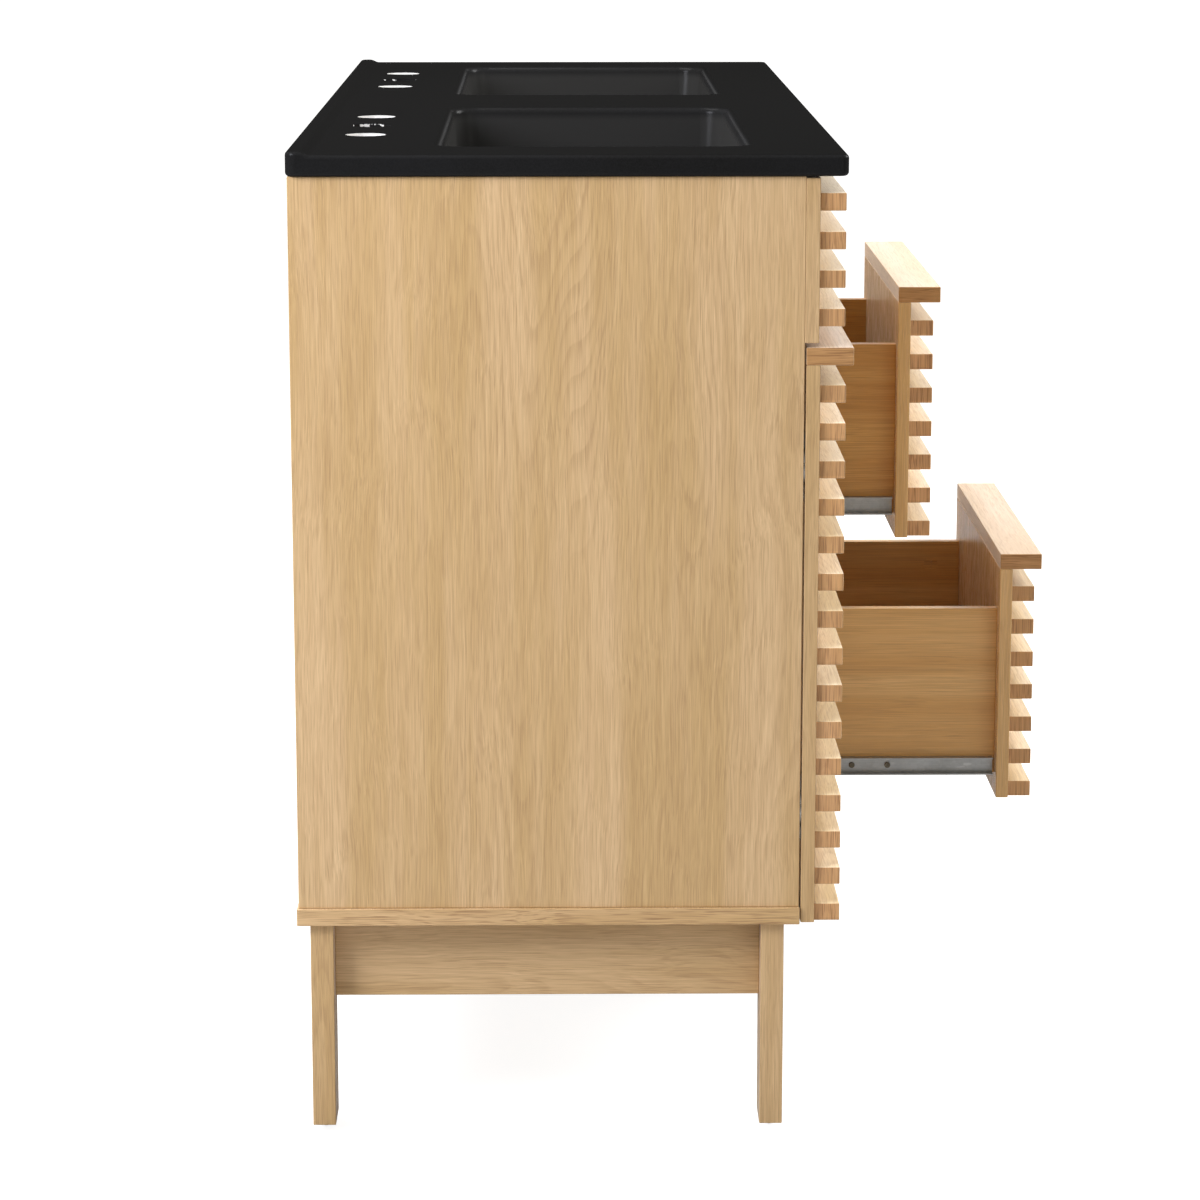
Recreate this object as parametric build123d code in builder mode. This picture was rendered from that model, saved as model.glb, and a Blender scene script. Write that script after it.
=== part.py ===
"""Bathroom vanity cabinet: a two-basin ceramic top on an oak-faced cabinet with slatted fronts.

Frame: +X to the user's right, +Y towards the wall, +Z up, millimetres.  The origin is on the floor, at the
centre of the overall box with both drawers standing part open, which is how the model rests.
Depths are measured from the wall plane at the back of the basin top, and from_wall() turns them into Y.
"""
import os

from build123d import *

os.makedirs("parts", exist_ok=True)

# ---------------------------------------------------------------- driving dimensions
WIDTH = 1219.0  # basin top, side to side (48 in)
DEPTH = 470.0  # basin top, wall to front edge (18.5 in)
HEIGHT = 857.0  # floor to deck

BOARD = 15.0  # carcass boards and aprons
FACE = 12.0  # door, drawer front and false front panels, drawer boxes
SOFT_EDGE = 0.8  # rounding on every board edge
SLAT_PITCH = 32.45
SLAT_TALL = 15.0
SLAT_DEEP = 22.0
SLAT_INSET = 4.0  # slats stop this far short of their panel's ends
LEDGE_DEEP = 40.0
LEDGE_TALL = 15.0
LEDGE_TOP = 694.2  # doors and upper drawer share this level
DOOR_ROWS = 15
DRAWER_ROWS = 7
FALSE_ROWS = 4

UPPER_OPEN = 115.8  # how far each drawer stands open at rest
LOWER_OPEN = 218.5

# ---------------------------------------------------------------- levels and planes worked out from them
EDGE_TALL = 18.5  # skirt round the basin top
DECK_UNDER = HEIGHT - EDGE_TALL
CARCASS_HALF = WIDTH / 2 - 5.0
CARCASS_BACK = 1.5
CARCASS_FRONT = 434.5
BASE_TOP = 205.6
BASE_UNDER = BASE_TOP - BOARD
BASE_PROUD = 3.0  # the bottom board stands proud of the side panels
BASE_LIP = 0.7  # and of their front edges
THROUGH = 200.0  # length of a cutter that passes right through
DOOR_BACK = CARCASS_FRONT + 1.5
PANEL_UNDER = BASE_UNDER + 1.0
INNER_HALF = CARCASS_HALF - BOARD
DRAWER_FRONT_HALF = 194.0
DOOR_GAP = 3.0
DOOR_INNER = DRAWER_FRONT_HALF + DOOR_GAP
PARTITION_OUTER = (DRAWER_FRONT_HALF + DOOR_INNER + BOARD) / 2
PARTITION_INNER = PARTITION_OUTER - BOARD
PARTITION_TOP = 697.0
BACK_PANEL = 5.0
REAR_RAIL_FRONT = CARCASS_BACK + BOARD
PARTITION_BACK = REAR_RAIL_FRONT + BACK_PANEL

OVERALL_DEPTH = DOOR_BACK + LOWER_OPEN + LEDGE_DEEP
WALL_Y = OVERALL_DEPTH / 2


def from_wall(distance):
    """Y of a plane this far in front of the wall."""
    return WALL_Y - distance


def keep(piece, label):
    """Labels a finished piece and writes its STEP file."""
    piece.part.label = label
    export_step(piece.part, f"parts/{label}.step")


def solid_between(x, wall, z):
    """A plain box between two limits along each axis, for use inside a BuildPart block."""
    with Locations(((x[0] + x[1]) / 2, from_wall((wall[0] + wall[1]) / 2), (z[0] + z[1]) / 2)):
        Box(abs(x[1] - x[0]), abs(wall[1] - wall[0]), abs(z[1] - z[0]))


def cut_between(x, wall, z):
    """Takes a plain box between two limits along each axis out of the part in hand."""
    with Locations(((x[0] + x[1]) / 2, from_wall((wall[0] + wall[1]) / 2), (z[0] + z[1]) / 2)):
        Box(abs(x[1] - x[0]), abs(wall[1] - wall[0]), abs(z[1] - z[0]), mode=Mode.SUBTRACT)


def board(label, x, wall, z):
    """A plain board with softened edges."""
    with BuildPart() as piece:
        solid_between(x, wall, z)
        fillet(piece.edges(), SOFT_EDGE)
    keep(piece, label)


# ---------------------------------------------------------------- basin top
TOP_CORNER = 9.0  # plan radius at the corners of the top
TOP_EDGE = 4.0
UNDER_EDGE = 3.5
DECK_THICK = 10.0
SKIRT_THICK = 14.0
BEAD_TALL = 3.0  # low upstand along the wall
BEAD_FLAT = 11.0
BEAD_FOOT = 22.0
BASIN_X = WIDTH / 4  # basin centres, either side of the middle
BASIN_BACK = 126.0
BASIN_FRONT = 390.0
BASIN_WIDE = 444.0
BASIN_LONG = BASIN_FRONT - BASIN_BACK
BASIN_DEEP = 115.0
BASIN_CORNER = 24.0
BASIN_TAPER = 6.0  # degrees of draft on the walls
BASIN_FLOOR_EDGE = 26.0
BASIN_RIM = 7.0
BASIN_WALL = 9.0
BASIN_MID = (BASIN_BACK + BASIN_FRONT) / 2
TAP_FROM_WALL = 57.5
TAP_SPACING = 101.6  # 4 in between neighbouring tap holes
TAP_HOLE_R = 18.0
DRAIN_R = 22.5
DRAIN_SEAT_R = 31.0
DRAIN_SEAT_DEEP = 3.0
DRAIN_BOSS_R = 36.0
DRAIN_BOSS_TALL = 12.0
OVERFLOW_R = 10.0
OVERFLOW_DROP = 36.0  # overflow centre below the deck
OVERFLOW_CUT = 60.0  # cutter length, short enough to miss the front wall
BASIN_FLOOR = HEIGHT - BASIN_DEEP
BASIN_UNDER = BASIN_FLOOR - BASIN_WALL


def basin_block(grow, deep, floor_edge):
    """A tapered bowl hanging from the deck plane: the hollow itself, or with grow the shell round it."""
    with BuildPart() as block:
        with BuildSketch(Plane.XY):
            RectangleRounded(BASIN_WIDE + 2 * grow, BASIN_LONG + 2 * grow, BASIN_CORNER + grow)
        extrude(amount=-deep, taper=BASIN_TAPER)
        fillet(block.faces().sort_by(Axis.Z)[0].edges(), floor_edge)
    return block


basin_hollow = basin_block(0, BASIN_DEEP, BASIN_FLOOR_EDGE)
basin_shell = basin_block(BASIN_WALL, BASIN_DEEP + BASIN_WALL, BASIN_FLOOR_EDGE)


bead_back, bead_foot, bead_flat = from_wall(0), from_wall(BEAD_FOOT), from_wall(BEAD_FLAT)


def is_top_rim(edge):
    """True for the edges round the outside of the slab's upper face."""
    middle = edge @ 0.5
    outside = max(abs(middle.X) - WIDTH / 2, middle.Y - from_wall(0), from_wall(DEPTH) - middle.Y)
    return middle.Z > HEIGHT - 1 and outside > -TOP_CORNER



with BuildPart() as sink_top:
    # the slab in section, with a low upstand along the wall that slopes softly down to the deck
    with BuildSketch(Plane.YZ.offset(-WIDTH / 2)):
        with BuildLine():
            Polyline(
                (bead_foot, HEIGHT),
                (from_wall(DEPTH), HEIGHT),
                (from_wall(DEPTH), DECK_UNDER),
                (bead_back, DECK_UNDER),
                (bead_back, HEIGHT + BEAD_TALL),
                (bead_flat, HEIGHT + BEAD_TALL),
            )
            Spline(
                (bead_flat, HEIGHT + BEAD_TALL),
                ((bead_flat + bead_foot) / 2, HEIGHT + BEAD_TALL / 2),
                (bead_foot, HEIGHT),
                tangents=[(-1, 0), (-1, 0)],
            )
        make_face()
    extrude(amount=WIDTH)
    fillet(sink_top.edges().filter_by(Axis.Z), TOP_CORNER)
    fillet(sink_top.faces().sort_by(Axis.Z)[0].edges(), UNDER_EDGE)
    fillet(sink_top.edges().filter_by(is_top_rim), TOP_EDGE)
    # hollow underside: a thin deck inside a deeper skirt
    with BuildSketch(Plane((0, from_wall(DEPTH / 2), DECK_UNDER))):
        RectangleRounded(WIDTH - 2 * SKIRT_THICK, DEPTH - 2 * SKIRT_THICK, TOP_CORNER)
    extrude(amount=EDGE_TALL - DECK_THICK, mode=Mode.SUBTRACT)
    with Locations(*[(s * BASIN_X, from_wall(BASIN_MID), HEIGHT - TOP_EDGE) for s in (-1, 1)]):
        add(basin_shell.part)
    with Locations(*[(s * BASIN_X, from_wall(BASIN_MID), BASIN_UNDER) for s in (-1, 1)]):
        Cylinder(DRAIN_BOSS_R, 2 * DRAIN_BOSS_TALL)
    with Locations(*[(s * BASIN_X, from_wall(BASIN_MID), HEIGHT) for s in (-1, 1)]):
        add(basin_hollow.part, mode=Mode.SUBTRACT)
    rims = (
        sink_top.edges()
        .filter_by_position(Axis.Z, HEIGHT - 0.01, HEIGHT + 0.01)
        .filter_by(lambda e: abs(from_wall(BASIN_MID) - e.center().Y) <= BASIN_LONG / 2 + 1)
        .filter_by(lambda e: abs(abs(e.center().X) - BASIN_X) <= BASIN_WIDE / 2 + 1)
    )
    fillet(rims, BASIN_RIM)
    # drain hole with the seat for its flange
    with Locations(*[(s * BASIN_X, from_wall(BASIN_MID), BASIN_FLOOR) for s in (-1, 1)]):
        Cylinder(DRAIN_SEAT_R, 2 * DRAIN_SEAT_DEEP, mode=Mode.SUBTRACT)
        Cylinder(DRAIN_R, THROUGH, mode=Mode.SUBTRACT)
    # tap holes: three in a row behind each basin
    tap_centres = [
        (s * BASIN_X + n * TAP_SPACING, from_wall(TAP_FROM_WALL), HEIGHT)
        for s in (-1, 1)
        for n in (-1, 0, 1)
    ]
    with Locations(*tap_centres):
        Cylinder(TAP_HOLE_R, THROUGH, mode=Mode.SUBTRACT)
    # overflow opening through the wall behind each basin
    with Locations(
        *[(s * BASIN_X, from_wall(BASIN_BACK), HEIGHT - OVERFLOW_DROP) for s in (-1, 1)]
    ):
        Cylinder(OVERFLOW_R, OVERFLOW_CUT, rotation=(90, 0, 0), mode=Mode.SUBTRACT)
keep(sink_top, "sink_top")

# ---------------------------------------------------------------- cam locks
CAM_R = 7.5
CAM_DEEP = 11.0
CAM_EDGE = 26.0  # cam centre from the board's end
CAM_SLOT = (9.0, 1.6, 1.8)
SIDE_CAM_LINES = (60.0, 380.0)  # from the wall
PARTITION_CAM_LINES = (80.0, 380.0)
FRONT_RAIL_CAM_LEVELS = (728.0, 808.0)


def cam_lock(centre, axis, deep=CAM_DEEP):
    """A slotted cam, flush with the board face at centre; axis points out of that face."""
    with BuildPart(Plane(centre, z_dir=axis)) as cam:
        Cylinder(CAM_R, deep, align=(Align.CENTER, Align.CENTER, Align.MAX))
        Box(*CAM_SLOT, mode=Mode.SUBTRACT)
    return cam.part


def cam_pocket(centre, axis, deep=CAM_DEEP):
    """The blind hole for a cam, cut from the board in hand."""
    pocket = Plane(centre, z_dir=axis) * Cylinder(
        CAM_R, deep, align=(Align.CENTER, Align.CENTER, Align.MAX), mode=Mode.PRIVATE
    )
    add(pocket, mode=Mode.SUBTRACT)


carcass_cams = []

# ---------------------------------------------------------------- carcass
for side, name in ((-1, "left"), (1, "right")):
    side_cams = [
        ((side * INNER_HALF, from_wall(w), BASE_TOP + CAM_EDGE), (-side, 0, 0)) for w in SIDE_CAM_LINES
    ]
    with BuildPart() as side_panel:
        solid_between(
            (side * INNER_HALF, side * CARCASS_HALF), (CARCASS_BACK, CARCASS_FRONT), (BASE_TOP, DECK_UNDER)
        )
        fillet(side_panel.edges(), SOFT_EDGE)
        for centre, axis in side_cams:
            cam_pocket(centre, axis)
    keep(side_panel, f"{name}_side_panel")

    partition_cams = [
        ((side * PARTITION_OUTER, from_wall(w), BASE_TOP + CAM_EDGE), (side, 0, 0))
        for w in PARTITION_CAM_LINES
    ]
    with BuildPart() as partition:
        solid_between(
            (side * PARTITION_INNER, side * PARTITION_OUTER),
            (PARTITION_BACK, CARCASS_FRONT),
            (BASE_TOP, PARTITION_TOP),
        )
        fillet(partition.edges(), SOFT_EDGE)
        for centre, axis in partition_cams:
            cam_pocket(centre, axis)
    keep(partition, f"{name}_partition")
    carcass_cams += side_cams + partition_cams

board(
    "bottom_panel",
    (-CARCASS_HALF - BASE_PROUD, CARCASS_HALF + BASE_PROUD),
    (0, CARCASS_FRONT + BASE_LIP),
    (BASE_UNDER, BASE_TOP),
)

FRONT_RAIL_BACK = CARCASS_FRONT - BOARD
front_rail_cams = [
    ((s * (INNER_HALF - CAM_EDGE), from_wall(FRONT_RAIL_BACK), z), (0, 1, 0))
    for s in (-1, 1)
    for z in FRONT_RAIL_CAM_LEVELS
]
with BuildPart() as front_rail:
    solid_between((-INNER_HALF, INNER_HALF), (FRONT_RAIL_BACK, CARCASS_FRONT), (PARTITION_TOP, DECK_UNDER))
    fillet(front_rail.edges(), SOFT_EDGE)
    for centre, axis in front_rail_cams:
        cam_pocket(centre, axis)
keep(front_rail, "front_rail")

REAR_RAIL_TALL = 100.0
WALL_SCREW_X = 400.0  # one wall fixing behind each basin
WALL_SCREW_R = 3.0
WALL_SCREW_Z = DECK_UNDER - REAR_RAIL_TALL / 2
rear_levels = {"rear_top_rail": DECK_UNDER - REAR_RAIL_TALL, "rear_bottom_rail": BASE_TOP}
rear_rail_cams = []
for label, low in rear_levels.items():
    cams = [
        ((s * (INNER_HALF - CAM_EDGE), from_wall(REAR_RAIL_FRONT), low + REAR_RAIL_TALL / 2), (0, -1, 0))
        for s in (-1, 1)
    ]
    with BuildPart() as rear_rail:
        levels = (low, low + REAR_RAIL_TALL)
        solid_between((-INNER_HALF, INNER_HALF), (CARCASS_BACK, REAR_RAIL_FRONT), levels)
        fillet(rear_rail.edges(), SOFT_EDGE)
        for centre, axis in cams:
            cam_pocket(centre, axis)
        if label == "rear_top_rail":
            with Locations(*[(s * WALL_SCREW_X, from_wall(CARCASS_BACK), WALL_SCREW_Z) for s in (-1, 1)]):
                Cylinder(WALL_SCREW_R, 4 * BOARD, rotation=(90, 0, 0), mode=Mode.SUBTRACT)
    keep(rear_rail, label)
    rear_rail_cams += cams

carcass_cams += front_rail_cams + rear_rail_cams
with BuildPart() as cam_locks:
    for centre, axis in carcass_cams:
        add(cam_lock(centre, axis))
keep(cam_locks, "cam_locks")

board(
    "centre_back_panel",
    (-PARTITION_OUTER, PARTITION_OUTER),
    (REAR_RAIL_FRONT, PARTITION_BACK),
    (BASE_TOP, PARTITION_TOP),
)

# ---------------------------------------------------------------- slatted fronts


def slat_rows(label, x, back, rows):
    """Horizontal slats, one solid each, standing off a panel whose front face is at back."""
    with BuildPart() as slats:
        for row in rows:
            top = LEDGE_TOP - row * SLAT_PITCH
            solid_between(
                (x[0] + SLAT_INSET, x[1] - SLAT_INSET), (back, back + SLAT_DEEP), (top - SLAT_TALL, top)
            )
        fillet(slats.edges(), SOFT_EDGE)
    keep(slats, label)


FALSE_FRONT_UNDER = 698.0
FALSE_FRONT_GAP = 1.5  # under the skirt of the basin top
board(
    "false_front_panel",
    (-CARCASS_HALF, CARCASS_HALF),
    (CARCASS_FRONT, CARCASS_FRONT + FACE),
    (FALSE_FRONT_UNDER, DECK_UNDER - FALSE_FRONT_GAP),
)
slat_rows(
    "false_front_slats", (-CARCASS_HALF, CARCASS_HALF), CARCASS_FRONT + FACE, range(-FALSE_ROWS, 0)
)

# ---------------------------------------------------------------- legs and aprons
LEG_WIDE = 42.0
LEG_THICK = 20.0
LEG_OUTER = CARCASS_HALF - 4.0  # the legs stand in from the sides
LEG_FOOT = 7.0
APRON_TALL = 71.5
GLIDE_R = 6.5
GLIDE_STEM_R = 3.0
GLIDE_STEM = 14.0  # depth of its hole in the leg
GLIDE_STEM_TOP = LEG_FOOT + GLIDE_STEM - 0.5  # the stem stops just short of the hole's end
GLIDE_RIM = LEG_FOOT - 2.0  # where the dome begins
GLIDE_DOME = (4.3, 1.35)  # a point on the dome: radius, height
GLIDE_FLAT_R = 2.0
SIDE_APRON_IN = 21.0  # side aprons stand this far in from the legs' outer faces
leg_backs = {"rear": 11.0, "front": 402.0}
apron_z = (BASE_UNDER - APRON_TALL, BASE_UNDER)
glide_centres = []
for end, back in leg_backs.items():
    for side, name in ((-1, "left"), (1, "right")):
        foot = (side * (LEG_OUTER - LEG_WIDE / 2), from_wall(back + LEG_THICK / 2), LEG_FOOT)
        glide_centres.append(foot)
        with BuildPart() as leg:
            solid_between(
                (side * LEG_OUTER, side * (LEG_OUTER - LEG_WIDE)),
                (back, back + LEG_THICK),
                (LEG_FOOT, BASE_UNDER),
            )
            fillet(leg.edges(), SOFT_EDGE)
            with Locations(foot):
                Cylinder(GLIDE_STEM_R, 2 * GLIDE_STEM, mode=Mode.SUBTRACT)
        keep(leg, f"{end}_{name}_leg")
    board(
        f"{end}_apron",
        (-(LEG_OUTER - LEG_WIDE), LEG_OUTER - LEG_WIDE),
        (back + (LEG_THICK - BOARD) / 2, back + (LEG_THICK + BOARD) / 2),
        apron_z,
    )

SIDE_APRON_OUTER = LEG_OUTER - SIDE_APRON_IN
for side, name in ((-1, "left"), (1, "right")):
    board(
        f"{name}_apron",
        (side * SIDE_APRON_OUTER, side * (SIDE_APRON_OUTER - BOARD)),
        (leg_backs["rear"] + LEG_THICK, leg_backs["front"]),
        apron_z,
    )

# domed glides: a button under the leg and a stem up into it
with BuildPart() as glide:
    with BuildSketch(Plane.XZ):
        with BuildLine():
            Polyline(
                (0, GLIDE_STEM_TOP),
                (GLIDE_STEM_R, GLIDE_STEM_TOP),
                (GLIDE_STEM_R, LEG_FOOT),
                (GLIDE_R, LEG_FOOT),
                (GLIDE_R, GLIDE_RIM),
            )
            ThreePointArc((GLIDE_R, GLIDE_RIM), GLIDE_DOME, (GLIDE_FLAT_R, 0))
            Polyline((GLIDE_FLAT_R, 0), (0, 0), (0, GLIDE_STEM_TOP))
        make_face()
    revolve(axis=Axis.Z)
with BuildPart() as leg_glides:
    with Locations(*[(x, y, 0) for x, y, _ in glide_centres]):
        add(glide.part)
keep(leg_glides, "leg_glides")

# steel angles that hold the leg frame up against the bottom board, in its four inner corners
BRACKET = 38.0
BRACKET_THICK = 2.0
BRACKET_WIDE = 18.0
BRACKET_LINES = (120.0, 320.0)  # from the wall
BRACKET_SCREW = 0.65 * BRACKET  # screw along each leg of the angle
SCREW_R = 2.9  # head radius
SCREW_HEAD = 1.6  # head height
SCREW_ROUND = 0.6
SCREW_SLOT = 3.4  # length of each arm of the cross
SCREW_SLOT_WIDE = 0.8
bracket_spots = [(s, w) for s in (-1, 1) for w in BRACKET_LINES]
screw_spots = []  # (head centre on the surface, outward axis) of every screw that stays on the cabinet
with BuildPart() as leg_brackets:
    for side, w in bracket_spots:
        inner = side * (SIDE_APRON_OUTER - BOARD)
        wall = (w - BRACKET_WIDE / 2, w + BRACKET_WIDE / 2)
        solid_between((inner, inner - side * BRACKET), wall, (BASE_UNDER - BRACKET_THICK, BASE_UNDER))
        solid_between((inner, inner - side * BRACKET_THICK), wall, (BASE_UNDER - BRACKET, BASE_UNDER))
        screw_spots.append(
            ((inner - side * BRACKET_SCREW, from_wall(w), BASE_UNDER - BRACKET_THICK), (0, 0, -1))
        )
        screw_spots.append(
            ((inner - side * BRACKET_THICK, from_wall(w), BASE_UNDER - BRACKET_SCREW), (-side, 0, 0))
        )
keep(leg_brackets, "leg_brackets")

# ---------------------------------------------------------------- drawer slides
SLIDE_LONG = 350.0
SLIDE_BACK = 84.0  # back end of both members when the drawer is shut
SHEET = 1.2
CABINET_MEMBER_TALL = 27.0
CABINET_MEMBER_REACH = 10.0
RUNNER_TALL = 17.0
RUNNER_REACH = 9.0
BOX_HALF = 175.3
BOX_TALL = 165.0
BOX_BACK = 76.0
BOX_ABOVE_PANEL = 20.5  # box underside above the bottom edge of its front panel
LOWER_BOX = PANEL_UNDER + BOX_ABOVE_PANEL
UPPER_BOX = LOWER_BOX + (DRAWER_ROWS + 1) * SLAT_PITCH
slide_levels = {"lower": LOWER_BOX + RUNNER_TALL / 2, "upper": UPPER_BOX + RUNNER_TALL / 2}
BALL_R = 1.75
BALL_ROW = 10.4  # ball centres above and below the slide's centre line
BALL_X = 181.0
BALLS = 7
BALL_PITCH = 11.0
CAGE_SHEET = 0.8
CAGE_WEB = 185.0
CAGE_END = 4.0  # cage beyond its last ball
CAGE_LIP = 2.5  # its flanges reach this far past the ball centres


def channel(side, web, reach, mid_z, tall, back, inward):
    """A C-shaped rolled steel member: web plane at x = web, flanges reaching out from it."""
    turn = -side if inward else side
    flange = (side * web, side * web + turn * reach)
    wall = (back, back + SLIDE_LONG)
    solid_between((side * web, side * web + turn * SHEET), wall, (mid_z - tall / 2, mid_z + tall / 2))
    solid_between(flange, wall, (mid_z + tall / 2 - SHEET, mid_z + tall / 2))
    solid_between(flange, wall, (mid_z - tall / 2, mid_z - tall / 2 + SHEET))


with BuildPart() as cabinet_runners:
    for mid_z in slide_levels.values():
        for side in (-1, 1):
            channel(
                side,
                PARTITION_INNER,
                CABINET_MEMBER_REACH,
                mid_z,
                CABINET_MEMBER_TALL,
                SLIDE_BACK,
                inward=True,
            )
keep(cabinet_runners, "cabinet_runners")

# ---------------------------------------------------------------- screws that stay on the cabinet
HINGE_LEVELS = (290.0, 590.0)
HINGE_PLATE = 3.0
HINGE_PLATE_HALF = 24.0
HINGE_PLATE_BACK = 378.0
HINGE_PLATE_FRONT = 418.0
HINGE_SCREW_LINE = 397.5  # 37 mm behind the carcass front edge
HINGE_SCREW_APART = 32.0
for side in (-1, 1):
    for level in HINGE_LEVELS:
        for up in (-1, 1):
            height = level + up * HINGE_SCREW_APART / 2
            head = (side * (INNER_HALF - HINGE_PLATE), from_wall(HINGE_SCREW_LINE), height)
            screw_spots.append((head, (-side, 0, 0)))
with BuildPart() as screw_head:
    Cylinder(SCREW_R, SCREW_HEAD, align=(Align.CENTER, Align.CENTER, Align.MIN))
    fillet(screw_head.faces().sort_by(Axis.Z)[-1].edges(), SCREW_ROUND)
    with Locations((0, 0, SCREW_HEAD)):
        Box(SCREW_SLOT, SCREW_SLOT_WIDE, SCREW_HEAD, mode=Mode.SUBTRACT)
        Box(SCREW_SLOT_WIDE, SCREW_SLOT, SCREW_HEAD, mode=Mode.SUBTRACT)


def screws(label, spots):
    """Cross-head screws seen from their heads, one solid each."""
    with BuildPart() as group:
        for centre, axis in spots:
            add(Plane(centre, z_dir=axis) * screw_head.part)
    keep(group, label)


screws("hardware_screws", screw_spots)

# ---------------------------------------------------------------- doors and their concealed hinges
CUP_R = 17.5
CUP_DEEP = 10.0
CUP_IN = 22.5  # cup centre from the door's outer edge
CUP_WALL = 1.0
CUP_FLANGE = (18.0, 62.0)  # across, tall
CUP_FLANGE_THICK = 1.2
CUP_FLANGE_ROUND = 6.0
CUP_LIP = 1.2  # the flange laps this far past the bore
PIN_IN = 26.0  # link pin from the door's outer edge
PIN_DEEP = 4.5  # link pin in front of the door's back face
PIN_R = 1.5
PIN_LONG = 22.0
LINK_EYE_R = 3.2
LINK_TALL = 10.0
LINK_THICK = 2.4
LINK_LONG = 46.0
ARM_WIDE = 16.0
ARM_REACH = 11.0
ARM_BACK = 366.0
ARM_FRONT = 430.0
ARM_SHEET = 1.5

for side, name in ((-1, "left"), (1, "right")):
    outer = side * CARCASS_HALF
    inner = side * DOOR_INNER
    x_span = (min(outer, inner), max(outer, inner))
    cup_x = side * (CARCASS_HALF - CUP_IN)
    pin_x = side * (CARCASS_HALF - PIN_IN)
    pin_y = from_wall(DOOR_BACK + PIN_DEEP)
    into_door = Plane.XZ.offset(-from_wall(DOOR_BACK))  # its normal points out of the front

    with BuildPart() as door_panel:
        solid_between(x_span, (DOOR_BACK, DOOR_BACK + FACE), (PANEL_UNDER, LEDGE_TOP - LEDGE_TALL))
        fillet(door_panel.edges(), SOFT_EDGE)
        with Locations(*[(cup_x, from_wall(DOOR_BACK), level) for level in HINGE_LEVELS]):
            Cylinder(CUP_R, 2 * CUP_DEEP, rotation=(90, 0, 0), mode=Mode.SUBTRACT)
    keep(door_panel, f"{name}_door_panel")
    board(
        f"{name}_door_ledge",
        x_span,
        (DOOR_BACK, DOOR_BACK + LEDGE_DEEP),
        (LEDGE_TOP - LEDGE_TALL, LEDGE_TOP),
    )
    slat_rows(f"{name}_door_slats", x_span, DOOR_BACK + FACE, range(1, DOOR_ROWS + 1))

    with BuildPart() as hinge_cups:
        for level in HINGE_LEVELS:
            with BuildSketch(into_door):
                with Locations((cup_x, level)):
                    Circle(CUP_R)
            extrude(amount=CUP_DEEP)
            with BuildSketch(into_door):
                with Locations((cup_x, level)):
                    RectangleRounded(*CUP_FLANGE, CUP_FLANGE_ROUND)
                    Circle(CUP_R + CUP_LIP)
            extrude(amount=-CUP_FLANGE_THICK)
            with BuildSketch(into_door.offset(-CUP_FLANGE_THICK)):
                with Locations((cup_x, level)):
                    Circle(CUP_R - CUP_WALL)
            extrude(amount=CUP_FLANGE_THICK + CUP_DEEP - CUP_WALL, mode=Mode.SUBTRACT)
    keep(hinge_cups, f"{name}_hinge_cups")

    with BuildPart() as hinge_links:
        for level in HINGE_LEVELS:
            tail = (DOOR_BACK + PIN_DEEP - LINK_LONG, DOOR_BACK + PIN_DEEP)
            with Locations((pin_x, pin_y, level)):
                Cylinder(LINK_EYE_R, LINK_TALL)
                Cylinder(PIN_R, PIN_LONG)
            solid_between(
                (pin_x - LINK_THICK / 2, pin_x + LINK_THICK / 2),
                tail,
                (level - LINK_TALL / 2, level + LINK_TALL / 2),
            )
    keep(hinge_links, f"{name}_hinge_links")

    with BuildPart() as hinge_arms:
        plate_x = (side * INNER_HALF, side * (INNER_HALF - HINGE_PLATE))
        arm_x = (side * (INNER_HALF - HINGE_PLATE), side * (INNER_HALF - HINGE_PLATE - ARM_REACH))
        channel_x = (side * (INNER_HALF - HINGE_PLATE - ARM_SHEET), side * (INNER_HALF - 2 * ARM_WIDE))
        for level in HINGE_LEVELS:
            plate_z = (level - HINGE_PLATE_HALF, level + HINGE_PLATE_HALF)
            solid_between(plate_x, (HINGE_PLATE_BACK, HINGE_PLATE_FRONT), plate_z)
            solid_between(arm_x, (ARM_BACK, ARM_FRONT), (level - ARM_WIDE / 2, level + ARM_WIDE / 2))
            slot = ARM_WIDE / 2 - ARM_SHEET
            cut_between(channel_x, (ARM_BACK - 1, ARM_FRONT + 1), (level - slot, level + slot))
    keep(hinge_arms, f"{name}_hinge_arms")

# soft bumpers on the carcass edge that the doors close on
BUMPER_R = 4.0
BUMPER_THICK = 1.2
BUMPER_LEVELS = (225.0, 660.0)
BUMPER_X = PARTITION_OUTER - 2.0 - BUMPER_R / 2
with BuildPart() as door_bumpers:
    for side in (-1, 1):
        for level in BUMPER_LEVELS:
            with Locations((side * BUMPER_X, from_wall(CARCASS_FRONT + BUMPER_THICK / 2), level)):
                Cylinder(BUMPER_R, BUMPER_THICK, rotation=(90, 0, 0))
keep(door_bumpers, "door_bumpers")

# ---------------------------------------------------------------- drawers
GROOVE = 5.0
BOTTOM_UP = 10.0  # drawer bottom above the box's underside
RUNNER_SCREWS = (105.0, 140.0, 245.0, 320.0)  # behind the front panel
FRONT_CAM_BACK = 30.0  # cams that pull the front on: behind the panel, above the box, below its top edge
FRONT_CAM_UP = 40.0
FRONT_CAM_DOWN = 25.0
FRONT_CAM_DEEP = 9.0
LOWER_ROW = 8  # the lower drawer's ledge takes the place of this row of slats
drawers = {
    "upper": {"open": UPPER_OPEN, "box": UPPER_BOX, "ledge": LEDGE_TOP, "rows": range(1, DRAWER_ROWS + 1)},
    "lower": {
        "open": LOWER_OPEN,
        "box": LOWER_BOX,
        "ledge": LEDGE_TOP - LOWER_ROW * SLAT_PITCH,
        "rows": range(LOWER_ROW + 1, LOWER_ROW + 1 + DRAWER_ROWS),
    },
}
front_x = (-DRAWER_FRONT_HALF, DRAWER_FRONT_HALF)
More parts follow.
